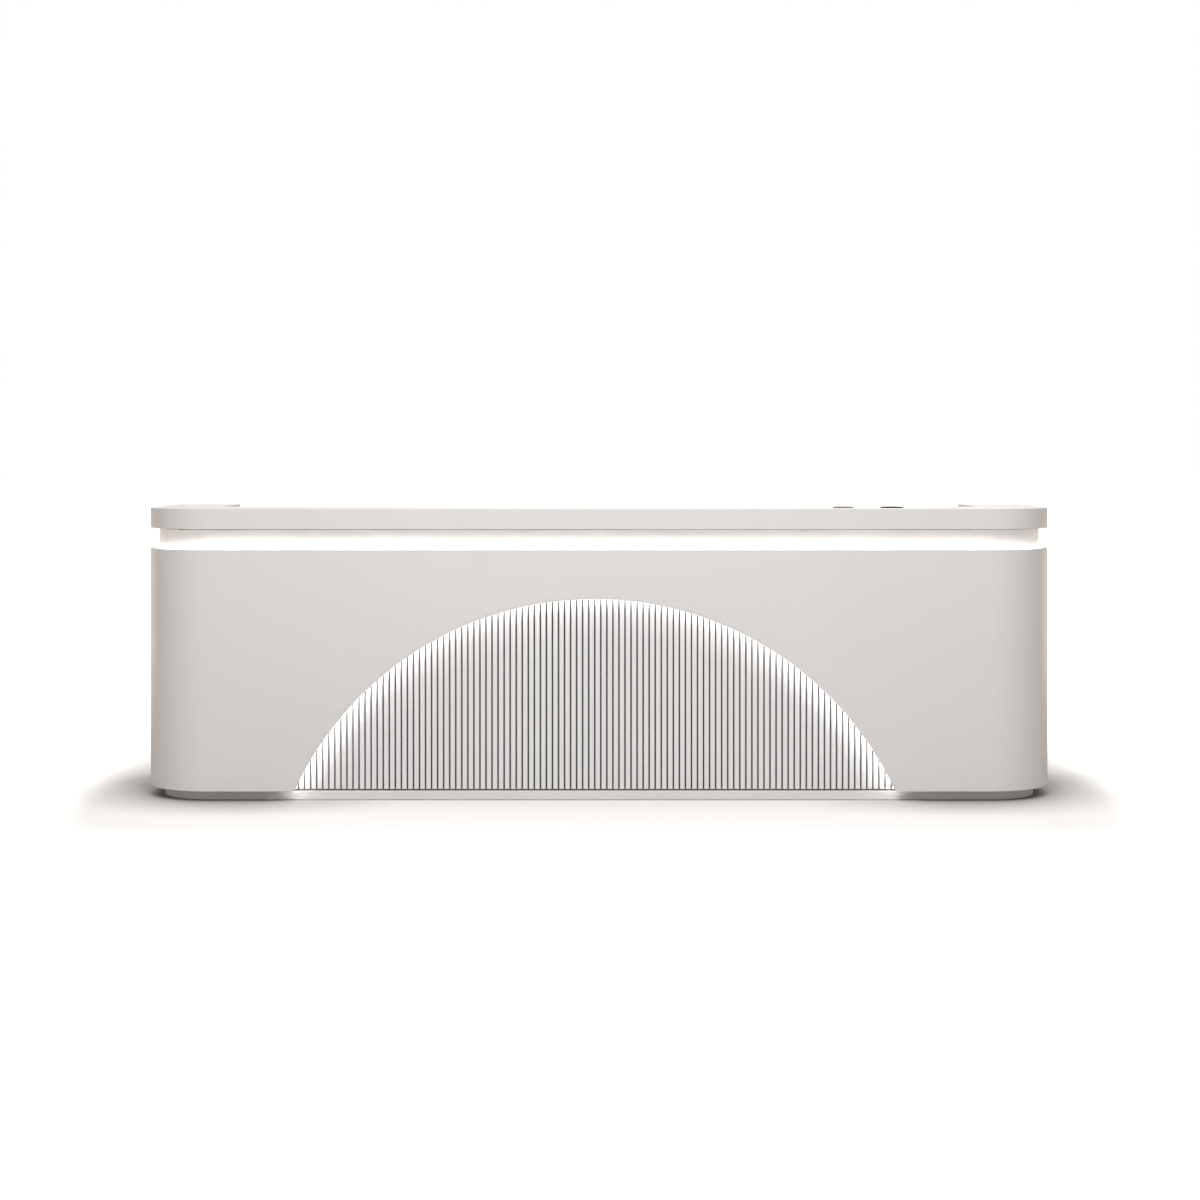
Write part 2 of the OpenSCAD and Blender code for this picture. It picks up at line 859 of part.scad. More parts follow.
// Switch case under the worktop: a pocket open to the staff side, bored for the axle.
module switch_housing() {
    s = switch_size;
    y1 = switch_at.y + s.y;
    x0 = switch_at.x - s.x / 2;
    color(black_plastic) difference() {
        block([x0, switch_at.y, switch_at.z - s.z], [x0 + s.x, y1, switch_at.z]);
        block([switch_at.x - pocket.x / 2, y1 - pocket.y, rocker_z - pocket.z / 2],
              [switch_at.x + pocket.x / 2, y1 + 1, rocker_z + pocket.z / 2]);
        translate([switch_at.x - axle_bore_l / 2, rocker_y, rocker_z]) rotate([0, 90, 0])
            cylinder(r = axle_r + pivot_fit, h = axle_bore_l);
    }
}

// Rocker on its axle, with two shallow facets; it stands with the lower one proud when off.
module switch_rocker() {
    color(black_plastic) {
        translate([switch_at.x - rocker_w / 2, rocker_y, rocker_z]) rotate([90, 0, 90])
            linear_extrude(rocker_w) rotate(rocker_tilt) {
                circle(rocker_r);
                polygon([[0, -rocker_r], [8, -6], [7, 0], [8, 6], [0, rocker_r]]);
            }
        translate([switch_at.x - axle_l / 2, rocker_y, rocker_z]) rotate([0, 90, 0])
            cylinder(r = axle_r, h = axle_l);
    }
}

// ---- Nodes ------------------------------------------------------------

plinth_front();
plinth_rails();
front_shell();
side_panel(-1);  // left_side_panel
side_panel(1);  // right_side_panel
shell_formers();
flute_backing_board();
flute_slats();
arch_led_channel();
arch_led_diffuser();
neck_frame();
neck_panel();
neck_led_channel();
neck_led_diffuser();
cap_top();
cap_core();
cap_soffit();
front_board();
wing_gables();
wing_rear_panels();
worktop();
cabinet_gables();
bottom_boards();
cupboard_shelf();
shelf_pins();
niche_dividers();
carcass_screws();
grommet_sleeve([grey_x, grommet_y], counter_h, grey_flange_d, grey_plastic);  // grey_grommet_sleeve
grommet_lid([grey_x, grommet_y], counter_h, grey_flange_d, grey_plastic);  // grey_grommet_lid
grommet_sleeve([black_x, grommet_y], counter_h, black_flange_d, black_plastic);  // black_grommet_sleeve
grommet_lid([black_x, grommet_y], counter_h, black_flange_d, black_plastic);  // black_grommet_lid
grommet_sleeve(worktop_grommet, worktop_z, worktop_flange_d, grey_plastic);  // worktop_grommet_sleeve
grommet_lid(worktop_grommet, worktop_z, worktop_flange_d, grey_plastic);  // worktop_grommet_lid
cabinet_runners();
for (d = DRAWERS) {
    drawer_front(d);
    drawer_box(d);
    drawer_runners(d);
    drawer_handle(d);
}
lock_barrel();
lock_plug();
keyboard_tray();
tray_runners();
tray_hangers();
left_door();
right_door();
door_pivots();
door_handle(-1);  // left_door_handle
door_handle(1);  // right_door_handle
led_driver();
led_leads();
switch_housing();
switch_rocker();
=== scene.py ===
"""Checkout counter: materials, softened edges, lit diffusers, fine fittings, studio and camera."""

import json
import math

import bmesh
import bpy
from mathutils import Matrix, Vector


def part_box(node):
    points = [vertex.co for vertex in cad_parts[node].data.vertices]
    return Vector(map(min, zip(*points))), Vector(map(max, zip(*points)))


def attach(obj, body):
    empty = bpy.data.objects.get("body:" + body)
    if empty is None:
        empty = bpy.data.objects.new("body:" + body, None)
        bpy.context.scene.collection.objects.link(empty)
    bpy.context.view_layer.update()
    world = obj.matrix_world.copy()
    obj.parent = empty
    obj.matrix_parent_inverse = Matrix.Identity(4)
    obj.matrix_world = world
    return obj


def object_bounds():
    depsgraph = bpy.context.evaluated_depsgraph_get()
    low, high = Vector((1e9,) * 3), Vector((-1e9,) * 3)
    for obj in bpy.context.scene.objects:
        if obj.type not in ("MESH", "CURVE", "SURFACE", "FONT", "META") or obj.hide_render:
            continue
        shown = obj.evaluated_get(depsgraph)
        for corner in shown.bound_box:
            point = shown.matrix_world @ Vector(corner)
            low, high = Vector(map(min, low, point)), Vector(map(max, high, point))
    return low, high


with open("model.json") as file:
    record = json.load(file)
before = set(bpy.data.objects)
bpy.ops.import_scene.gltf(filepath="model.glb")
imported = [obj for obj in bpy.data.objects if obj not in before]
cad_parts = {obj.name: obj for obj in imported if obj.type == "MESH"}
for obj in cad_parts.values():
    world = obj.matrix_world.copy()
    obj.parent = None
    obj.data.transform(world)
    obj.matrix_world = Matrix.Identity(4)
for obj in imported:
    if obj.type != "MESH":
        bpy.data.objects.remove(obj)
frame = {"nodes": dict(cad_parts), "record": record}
nodes = frame["nodes"]
cad_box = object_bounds()
low, high = cad_box

MM = 0.001


# ---- Node helpers -------------------------------------------------------


class Graph:
    """A material's node tree, with short calls for the nodes that the finishes share."""

    def __init__(self, name):
        self.mat = bpy.data.materials.new(name)
        self.mat.use_nodes = True
        self.tree = self.mat.node_tree
        self.tree.nodes.clear()
        self.output = self.tree.nodes.new("ShaderNodeOutputMaterial")
        self.place = self.tree.nodes.new("ShaderNodeTexCoord").outputs["Object"]

    def add(self, kind, **settings):
        node = self.tree.nodes.new(kind)
        for key, value in settings.items():
            setattr(node, key, value)
        return node

    def link(self, source, target):
        self.tree.links.new(source, target)

    def feed(self, socket, value):
        if isinstance(value, bpy.types.NodeSocket):
            self.link(value, socket)
        else:
            socket.default_value = value

    def stretch(self, scale, turn=(0, 0, 0)):
        """The place in the object, scaled along its axes."""
        node = self.add("ShaderNodeMapping")
        self.link(self.place, node.inputs["Vector"])
        node.inputs["Scale"].default_value = scale
        node.inputs["Rotation"].default_value = turn
        return node.outputs["Vector"]

    def noise(self, scale, detail=3, rough=0.55, place=None):
        node = self.add("ShaderNodeTexNoise")
        self.link(place or self.place, node.inputs["Vector"])
        node.inputs["Scale"].default_value = scale
        node.inputs["Detail"].default_value = detail
        node.inputs["Roughness"].default_value = rough
        return node.outputs["Fac"]

    def span(self, value, from_low, from_high, to_low, to_high):
        node = self.add("ShaderNodeMapRange")
        self.link(value, node.inputs["Value"])
        node.inputs["From Min"].default_value = from_low
        node.inputs["From Max"].default_value = from_high
        node.inputs["To Min"].default_value = to_low
        node.inputs["To Max"].default_value = to_high
        return node.outputs["Result"]

    def maths(self, operation, a, b):
        node = self.add("ShaderNodeMath", operation=operation)
        self.feed(node.inputs[0], a)
        self.feed(node.inputs[1], b)
        return node.outputs["Value"]

    def axis(self, name):
        node = self.add("ShaderNodeSeparateXYZ")
        self.link(self.place, node.inputs["Vector"])
        return node.outputs[name]

    def mix(self, fac, a, b):
        node = self.add("ShaderNodeMix", data_type="RGBA")
        self.feed(node.inputs["Factor"], fac)
        self.feed(node.inputs[6], a if isinstance(a, bpy.types.NodeSocket) else (*a, 1))
        self.feed(node.inputs[7], b if isinstance(b, bpy.types.NodeSocket) else (*b, 1))
        return node.outputs[2]

    def bump(self, height, distance, strength=1.0, under=None):
        node = self.add("ShaderNodeBump")
        node.inputs["Strength"].default_value = strength
        node.inputs["Distance"].default_value = distance
        self.link(height, node.inputs["Height"])
        if under:
            self.link(under, node.inputs["Normal"])
        return node.outputs["Normal"]

    def surface(self, color, roughness, normal=None, **fixed):
        node = self.add("ShaderNodeBsdfPrincipled")
        color = color if isinstance(color, bpy.types.NodeSocket) else (*color, 1)
        self.feed(node.inputs["Base Color"], color)
        self.feed(node.inputs["Roughness"], roughness)
        if normal:
            self.link(normal, node.inputs["Normal"])
        for key, value in fixed.items():
            node.inputs[key.replace("_", " ").title().replace("Ior", "IOR")].default_value = value
        self.link(node.outputs["BSDF"], self.output.inputs["Surface"])
        return self.mat

    def edges(self, radius):
        """1 along sharp edges, falling to 0 on open faces; radius in metres."""
        round_off = self.add("ShaderNodeBevel", samples=6)
        round_off.inputs["Radius"].default_value = radius
        face = self.add("ShaderNodeNewGeometry")
        turn = self.add("ShaderNodeVectorMath", operation="DOT_PRODUCT")
        self.link(round_off.outputs["Normal"], turn.inputs[0])
        self.link(face.outputs["Normal"], turn.inputs[1])
        return self.span(turn.outputs["Value"], 0.995, 0.80, 0, 1)

    def worn(self, tone, bare, radius, amount, scale=55):
        """tone rubbed through to bare in broken patches along the edges."""
        patch = self.span(self.noise(scale, 5, 0.65), 0.50, 0.66, 0, amount)
        return self.mix(self.maths("MULTIPLY", self.edges(radius), patch), tone, bare)


def shade(color, factor):
    return tuple(c * factor for c in color)


# ---- Finishes -----------------------------------------------------------


def lacquer(name, color, rough=0.42, peel=1.0):
    """Sprayed matt lacquer: faint drifts of tone, orange peel, and a cloudy darkening towards the bottom,
    within 9 cm of the floor.
    """
    g = Graph(name)
    drift = g.span(g.noise(1.3, 2), 0.35, 0.65, 0, 1)
    tone = g.mix(drift, shade(color, 0.985), color)
    fleck = g.span(g.noise(60, 5, 0.7), 0.62, 0.80, 0, 0.05)
    tone = g.mix(fleck, tone, shade(color, 0.86))
    cloud = g.noise(9, 4)
    # darker, cloudy tone towards the bottom, fading out 9 cm above the floor
    low_darkening = g.maths("MULTIPLY", g.span(g.axis("Z"), 0.0, 0.09, 0.22, 0), cloud)
    tone = g.mix(low_darkening, tone, (0.50, 0.47, 0.43))
    tone = g.worn(tone, (0.52, 0.50, 0.48), 0.0018, 0.45)
    gloss = g.span(g.noise(5, 4), 0.3, 0.7, rough - 0.05, rough + 0.06)
    skin = g.bump(g.noise(420, 2), 0.00006 * peel)
    wave = g.bump(g.noise(7, 1), 0.0001 * peel, 0.5, skin)
    return g.surface(tone, gloss, wave, specular_ior_level=0.4)


def melamine(name, color):
    """Melamine facing with a fine pearl texture and faint wiping marks."""
    g = Graph(name)
    tone = g.mix(g.span(g.noise(2.2, 3), 0.35, 0.65, 0, 1), shade(color, 0.975), color)
    tone = g.worn(tone, (0.46, 0.43, 0.39), 0.0014, 0.5, 80)
    wipe = g.noise(5, 4, 0.6, g.stretch((1, 6, 1), (0, 0, 0.4)))
    gloss = g.span(wipe, 0.3, 0.7, 0.34, 0.50)
    pearl = g.bump(g.noise(900, 1), 0.00008)
    return g.surface(tone, gloss, pearl, specular_ior_level=0.45)


def chipboard(name, color):
    """Bare particle board: pale and dark chips a few millimetres long."""
    g = Graph(name)
    chips = g.add("ShaderNodeTexVoronoi", feature="F1")
    g.link(g.stretch((1, 1, 1.8)), chips.inputs["Vector"])
    chips.inputs["Scale"].default_value = 260
    grey = g.add("ShaderNodeSeparateColor")
    g.link(chips.outputs["Color"], grey.inputs["Color"])
    tone = g.mix(grey.outputs["Red"], shade(color, 0.62), shade(color, 1.15))
    tone = g.mix(g.span(g.noise(30, 3), 0.3, 0.7, 0, 0.35), tone, shade(color, 0.8))
    rough = g.span(g.noise(120, 3), 0.3, 0.7, 0.72, 0.92)
    return g.surface(tone, rough, g.bump(chips.outputs["Distance"], 0.0006), specular_ior_level=0.2)


def plywood(name, color):
    """Clear-lacquered birch: long grain along Y, with fine pores."""
    g = Graph(name)
    place = g.stretch((14, 0.9, 14))
    grain = g.noise(5, 6, 0.6, place)
    pore = g.noise(60, 3, 0.7, place)
    tone = g.mix(g.span(grain, 0.3, 0.7, 0, 1), shade(color, 0.80), shade(color, 1.08))
    tone = g.mix(g.span(pore, 0.60, 0.78, 0, 0.5), tone, shade(color, 0.55))
    rough = g.span(grain, 0.3, 0.7, 0.38, 0.52)
    return g.surface(tone, rough, g.bump(pore, 0.0002), specular_ior_level=0.35)


def stained(name, color):
    """Board stained or primed in one colour, with its grain upright."""
    g = Graph(name)
    grain = g.noise(8, 5, 0.6, g.stretch((12, 12, 0.8)))
    tone = g.mix(g.span(grain, 0.3, 0.7, 0, 1), shade(color, 0.75), shade(color, 1.25))
    return g.surface(tone, g.span(grain, 0.3, 0.7, 0.6, 0.8), g.bump(grain, 0.0003))


def brushed(name, color, rough, along=(1, 60, 60)):
    """Metal drawn or brushed along one axis."""
    g = Graph(name)
    line = g.noise(30, 4, 0.7, g.stretch(along))
    tone = g.mix(g.span(line, 0.3, 0.7, 0, 1), shade(color, 0.86), color)
    smear = g.span(g.noise(25, 3), 0.3, 0.7, -0.05, 0.07)
    gloss = g.maths("ADD", g.span(line, 0.3, 0.7, rough - 0.06, rough + 0.06), smear)
    return g.surface(tone, gloss, g.bump(line, 0.00004), metallic=1.0)


def zinc(name, color):
    """Zinc-plated steel with a faint spangle."""
    g = Graph(name)
    cell = g.add("ShaderNodeTexVoronoi", feature="F1")
    g.link(g.place, cell.inputs["Vector"])
    cell.inputs["Scale"].default_value = 130
    grey = g.add("ShaderNodeSeparateColor")
    g.link(cell.outputs["Color"], grey.inputs["Color"])
    tone = g.mix(grey.outputs["Red"], shade(color, 0.82), shade(color, 1.1))
    gloss = g.span(grey.outputs["Green"], 0, 1, 0.30, 0.46)
    return g.surface(tone, gloss, g.bump(g.noise(500, 2), 0.00004), metallic=1.0)


def plastic(name, color, rough, shine=0.45):
    """Moulded plastic with a fine spark-eroded grain."""
    g = Graph(name)
    tone = g.mix(g.span(g.noise(40, 4), 0.35, 0.65, 0, 1), shade(color, 0.88), shade(color, 1.06))
    gloss = g.span(g.noise(160, 3), 0.3, 0.7, rough - 0.06, rough + 0.08)
    return g.surface(tone, gloss, g.bump(g.noise(1500, 2), 0.00005), specular_ior_level=shine)


def lit_opal(name, color, strength):
    """Opal cover over a strip of diodes: a steady glow, a little brighter over each diode."""
    g = Graph(name)
    diode = g.noise(60, 1)
    warm = g.mix(g.span(diode, 0.3, 0.7, 0, 1), shade(color, 0.94), color)
    node = g.add("ShaderNodeBsdfPrincipled")
    node.inputs["Base Color"].default_value = (0.9, 0.9, 0.88, 1)
    node.inputs["Roughness"].default_value = 0.6
    node.inputs["Emission Strength"].default_value = strength
    g.link(warm, node.inputs["Emission Color"])
    g.link(node.outputs["BSDF"], g.output.inputs["Surface"])
    return g.mat


WHITE = (0.80, 0.783, 0.775)
finishes = {
    "white_lacquer": lacquer("white_lacquer", WHITE),
    "slat_lacquer": lacquer("slat_lacquer", (0.90, 0.882, 0.89), 0.45, 0.6),
    "dark_board": stained("dark_board", (0.06, 0.056, 0.054)),
    "primed_board": stained("primed_board", (0.30, 0.295, 0.29)),
    "raw_board": chipboard("raw_board", (0.50, 0.39, 0.27)),
    "melamine": melamine("melamine", (0.78, 0.765, 0.75)),
    "drawer_board": plywood("drawer_board", (0.62, 0.46, 0.30)),
    "anodised": brushed("anodised", (0.68, 0.69, 0.71), 0.32),
    "zinc_steel": zinc("zinc_steel", (0.55, 0.56, 0.58)),
    "handle_steel": brushed("handle_steel", (0.58, 0.58, 0.58), 0.28),
    "lock_chrome": brushed("lock_chrome", (0.66, 0.66, 0.67), 0.20, (40, 40, 40)),
    "grey_plastic": plastic("grey_plastic", (0.20, 0.20, 0.195), 0.50, 0.25),
    "black_plastic": plastic("black_plastic", (0.014, 0.014, 0.015), 0.55, 0.2),
    "lead_sheath": plastic("lead_sheath", (0.72, 0.72, 0.70), 0.50),
}
matt_grey = plastic("matt_grey_plastic", (0.15, 0.15, 0.146), 0.75, 0.0)
matt_black = plastic("matt_black_plastic", (0.012, 0.012, 0.012), 0.75, 0.0)
# painted light: a paler copy of the white lacquer, on the neck panel and the cap's underside, which lie in
# the cap's shade
recess = lacquer("recess_lacquer_painted_light", shade(WHITE, 1.10), 0.45, 0.25)
own_finishes = {
    "neck_led_diffuser": lit_opal("neck_glow", (1.0, 0.955, 0.915), 16.5),
    "arch_led_diffuser": lit_opal("arch_glow", (1.0, 0.98, 0.96), 26),
    # painted light: the plinth front gets a paler copy of the white lacquer
    "plinth_front": lacquer("plinth_lacquer_painted_light", shade(WHITE, 1.09)),
    "neck_panel": recess,
    "cap_soffit": recess,
    "grey_grommet_sleeve": matt_grey,
    "grey_grommet_lid": matt_grey,
    "black_grommet_sleeve": matt_black,
    "black_grommet_lid": matt_black,
}


# ---- CAD nodes ----------------------------------------------------------


def finish_of(name):
    slots = {part["node"]: part["material_slot"] for part in frame["record"]["subparts"]}
    return own_finishes.get(name) or finishes[slots[name]]


EDGE_MM = {
    "cap_top": 2.5,
    "front_shell": 1.2,
    "left_side_panel": 1.2,
    "right_side_panel": 1.2,
    "neck_panel": 0.8,
    "flute_slats": 1.0,
    "worktop": 1.5,
    "left_door": 1.0,
    "right_door": 1.0,
    "keyboard_tray": 1.2,
    "led_driver": 1.5,
    "switch_housing": 1.0,
}
NO_EDGE = {"led_leads", "arch_led_diffuser", "neck_led_diffuser", "shelf_pins", "carcass_screws"}


def soften(name, obj):
    """Joins the mesh, clears its flat faces and rounds its sharp edges."""
    weld = obj.modifiers.new("join", "WELD")
    weld.merge_threshold = 0.00001
    flat = obj.modifiers.new("flat", "DECIMATE")
    flat.decimate_type = "DISSOLVE"
    flat.angle_limit = math.radians(0.5)
    if name in NO_EDGE:
        return
    width = EDGE_MM.get(name, 1.0 if name.endswith("_front") else 0.5)
    edge = obj.modifiers.new("edge", "BEVEL")
    edge.width = width * MM
    edge.segments = 3 if width > 1 else 2
    edge.limit_method = "ANGLE"
    edge.angle_limit = math.radians(30)
    edge.harden_normals = False
    even = obj.modifiers.new("even", "WEIGHTED_NORMAL")
    even.keep_sharp = False
    even.weight = 80


for name, obj in nodes.items():
    obj.data.materials.clear()
    obj.data.materials.append(finish_of(name))
    soften(name, obj)


# ---- Fittings -----------------------------------------------------------


class Part:
    """One mesh piece built from shaped solids, in metres, in the counter's frame."""

    def __init__(self):
        self.bm = bmesh.new()

    def place(self, made, point, axis):
        """Stands what was made along Z at a point, along an axis; a level axis keeps Y upright."""
        axis = Vector(axis)
        if axis.z > 0.9:
            turn = Matrix.Identity(4)
        elif axis.z < -0.9:
            turn = Matrix.Rotation(math.pi, 4, "X")
        else:
            turn = axis.to_track_quat("Z", "Y").to_matrix().to_4x4()
        bmesh.ops.transform(self.bm, matrix=Matrix.Translation(point) @ turn, verts=made)

    def ring(self, radius, height, sides):
        angles = [2 * math.pi * i / sides for i in range(sides)]
        return [self.bm.verts.new((radius * math.cos(a), radius * math.sin(a), height)) for a in angles]

    def join(self, lower, upper):
        """Walls between two closed loops with the same number of points."""
        count = len(lower)
        for i in range(count):
            j = (i + 1) % count
            self.bm.faces.new((lower[i], lower[j], upper[j], upper[i]))

    def turned(self, profile, point, axis=(0, 0, 1), sides=28):
        """Solid of revolution: profile is (radius, height) pairs from the foot to the top."""
        rings = [self.ring(radius, height, sides) for radius, height in profile]
        for lower, upper in zip(rings, rings[1:]):
            self.join(lower, upper)
        self.bm.faces.new(reversed(rings[0]))
        self.bm.faces.new(rings[-1])
        self.place([v for ring in rings for v in ring], point, axis)

    def pan_head(self, point, axis, radius=0.0036):
        """Pan-head screw with a cross recess, standing on its face."""
        sides = 24
        height = radius * 0.62
        dome = ((1.0, 0.0), (0.98, 0.35), (0.86, 0.75), (0.66, 1.0))
        rings = [self.ring(radius * r, height * h, sides) for r, h in dome]
        for lower, upper in zip(rings, rings[1:]):
            self.join(lower, upper)
        arm, half = radius * 0.50, radius * 0.12
        quarter = ((arm, -half), (arm, half), (half, half))
        turns = [Matrix.Rotation(math.pi / 2 * k, 2) for k in range(4)]
        outline = [turn @ Vector(p) for turn in turns for p in quarter]
        top = [self.bm.verts.new((p.x, p.y, height)) for p in outline]
        low = [self.bm.verts.new((p.x * 0.7, p.y * 0.7, height * 0.35)) for p in outline]
        self.join(top, low)
        self.bm.faces.new(low)
        rim = []
        for loop in (rings[-1], top):
            rim += [self.bm.edges.get(pair) for pair in zip(loop, loop[1:] + loop[:1])]
        bmesh.ops.triangle_fill(self.bm, use_beauty=True, edges=rim)
        self.place([v for ring in (*rings, top, low) for v in ring], point, axis)

    def slab(self, outline, thickness, point, axis=(0, 0, 1)):
        """Flat outline given as (x, y) pairs, thickened along its own Z."""
        lower = [self.bm.verts.new((x, y, 0)) for x, y in outline]
        upper = [self.bm.verts.new((x, y, thickness)) for x, y in outline]
        self.join(lower, upper)
        self.bm.faces.new(reversed(lower))
        self.bm.faces.new(upper)
        self.place(lower + upper, point, axis)

    def cuboid(self, near, far):
        x, y, z = (sorted(pair) for pair in zip(near, far))
        self.slab([(x[0], y[0]), (x[1], y[0]), (x[1], y[1]), (x[0], y[1])], z[1] - z[0], (0, 0, z[0]))

    def finish(self, name, slot, body, edge=0.0):
        bmesh.ops.recalc_face_normals(self.bm, faces=self.bm.faces)
        mesh = bpy.data.meshes.new(name)
        self.bm.to_mesh(mesh)
        self.bm.free()
        mesh.materials.append(finishes[slot])
        obj = bpy.data.objects.new(name, mesh)
        bpy.context.scene.collection.objects.link(obj)
        if edge:
            bevel = obj.modifiers.new("edge", "BEVEL")
            bevel.width = edge
            bevel.segments = 2
            bevel.limit_method = "ANGLE"
            bevel.angle_limit = math.radians(40)
        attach(obj, body)
        return obj


def low_of(node):
    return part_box(node)[0]


def in_metres(profile):
    return [(radius * MM, height * MM) for radius, height in profile]


def rounded(half_x, half_y, radius, steps=5):
    """Outline of a rectangle with rounded corners, about its middle."""
    points = []
    for k in range(4):
        sx, sy = ((1, 1), (-1, 1), (-1, -1), (1, -1))[k]
        for i in range(steps + 1):
            a = math.pi / 2 * (k + i / steps)
            x = sx * (half_x - radius) + radius * math.cos(a)
            y = sy * (half_y - radius) + radius * math.sin(a)
            points.append((x, y))
    return points


POST_INSET = 20 * MM
COLLAR_MM = ((7.5, 0), (7.5, 0.9), (6.9, 1.5), (5.2, 1.9), (4.0, 3.4))
GLAND_MM = ((5.4, 0), (5.4, 2), (4.6, 3), (3.9, 6), (3.1, 9), (2.6, 9.4))
MOVING_HANDLES = {
    "top_drawer": "top_drawer_handle",
    "middle_drawer": "middle_drawer_handle",
    "bottom_drawer": "bottom_drawer_handle",
    "left_cupboard_door": "left_door_handle",
    "right_cupboard_door": "right_door_handle",
}


def handle_collars():
    """Turned collars where the handle posts meet the fronts."""
    for body, node in MOVING_HANDLES.items():
        lo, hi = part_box(node)
        middle = (lo + hi) / 2
        reach = (hi - lo) / 2
        along = Vector((1, 0, 0)) if reach.x > reach.z else Vector((0, 0, 1))
        offset = along * (max(reach.x, reach.z) - POST_INSET)
        collars = Part()
        for side in (-1, 1):
            foot = Vector((middle.x, lo.y, middle.z)) + side * offset
            collars.turned(in_metres(COLLAR_MM), foot, (0, 1, 0))
        collars.finish(body + "_handle_collars", "handle_steel", body)


def hanger_screws():
    """Screws through the turned-out tops of the two tray hangers."""
    lo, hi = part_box("tray_hangers")
    heads = Part()
    flange = 24 * MM
    for x in (lo.x + flange / 2, hi.x - flange / 2):
        for y in (lo.y + 30 * MM, (lo.y + hi.y) / 2, hi.y - 30 * MM):
            heads.pan_head((x, y, hi.z - 2 * MM), (0, 0, -1))
    heads.finish("tray_hanger_screws", "zinc_steel", "counter")


def hinge_screws():
    """Screws in the feet of the four pivot plates."""
    lo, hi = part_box("door_pivots")
    heads = Part()
    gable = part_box("cabinet_gables")[1].x
    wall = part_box("worktop")[1].x
    for x in (gable + 7 * MM, gable + 19 * MM, wall - 7 * MM, wall - 19 * MM):
        heads.pan_head((x, lo.y + 13 * MM, lo.z + 2 * MM), (0, 0, 1), 3.2 * MM)
        heads.pan_head((x, lo.y + 13 * MM, hi.z - 2 * MM), (0, 0, -1), 3.2 * MM)
    heads.finish("hinge_plate_screws", "zinc_steel", "counter")


def driver_fittings():
    """Cooling ribs, fixing ears with screws, and tapered glands where the leads leave."""
    lo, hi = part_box("led_driver")
    middle = (lo + hi) / 2
    case = Part()
    pitch, rib_half, rib_end = 6 * MM, 1.1 * MM, 7 * MM
    count = int((hi.x - lo.x - 36 * MM) / pitch)
    for i in range(count + 1):
        x = middle.x + (i - count / 2) * pitch
        near = (x - rib_half, hi.y - 0.2 * MM, lo.z + rib_end)
        case.cuboid(near, (x + rib_half, hi.y + 1.6 * MM, hi.z - rib_end))
    ears = (lo.x - 6 * MM, hi.x + 6 * MM)
    for x in ears:
        case.slab(rounded(9 * MM, 14 * MM, 5 * MM), 3 * MM, (x, lo.y, middle.z), (0, 1, 0))
    case.finish("driver_ribs_and_ears", "black_plastic", "counter", 0.4 * MM)
    heads = Part()
    for x, side in zip(ears, (-1, 1)):
        heads.pan_head((x + side * 3 * MM, lo.y + 3 * MM, middle.z + 7 * MM), (0, 1, 0))
        heads.pan_head((x + side * 3 * MM, lo.y + 3 * MM, middle.z - 7 * MM), (0, 1, 0))
    heads.finish("driver_screws", "zinc_steel", "counter")
    glands = Part()
    for x in (lo.x + 30 * MM, lo.x + 60 * MM, lo.x + 140 * MM):
        glands.turned(in_metres(GLAND_MM), (x, middle.y, hi.z))
    glands.finish("driver_glands", "black_plastic", "counter")


def lead_clips():
    """Saddle clips that hold the switch lead up under the worktop."""
    bore, outer, width, drop, plate = 2.8 * MM, 4.2 * MM, 7 * MM, 11 * MM, 1.5 * MM
    arc = [math.pi * i / 12 for i in range(13)]
    saddle = [(outer * math.cos(a), -outer * math.sin(a)) for a in arc]
    saddle += [(-outer, drop), (-bore, drop)]
    saddle += [(-bore * math.cos(a), -bore * math.sin(a)) for a in arc]
    saddle += [(bore, drop), (outer, drop)]
    root, tip = outer - 0.2 * MM, outer + 9 * MM
    tab = [(root, drop - plate), (tip, drop - plate), (tip, drop), (root, drop)]
    switch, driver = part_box("switch_housing"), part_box("led_driver")
    lead_x = (switch[0].x + switch[1].x) / 2
    lead = Vector((lead_x, (driver[0].y + driver[1].y) / 2, low_of("worktop").z - drop))
    along_y = [((lead.x, y, lead.z), (0, 1, 0), (-1, 0, 0)) for y in (0.20, 0.05, -0.10)]
    along_x = [((x, lead.y, lead.z), (1, 0, 0), (0, 1, 0)) for x in (0.60, 0.76, 0.92)]
    clips, heads = Part(), Part()
    for point, axis, outward in along_y + along_x:
        clips.slab(saddle, width, point, axis)
        clips.slab(tab, width, point, axis)
        screw = Vector(point) + Vector(axis) * width / 2 + Vector(outward) * (outer + 4.6 * MM)
        heads.pan_head(screw + Vector((0, 0, drop - plate)), (0, 0, -1), 2.8 * MM)
    clips.finish("lead_clips", "grey_plastic", "counter")
    heads.finish("lead_clip_screws", "zinc_steel", "counter")


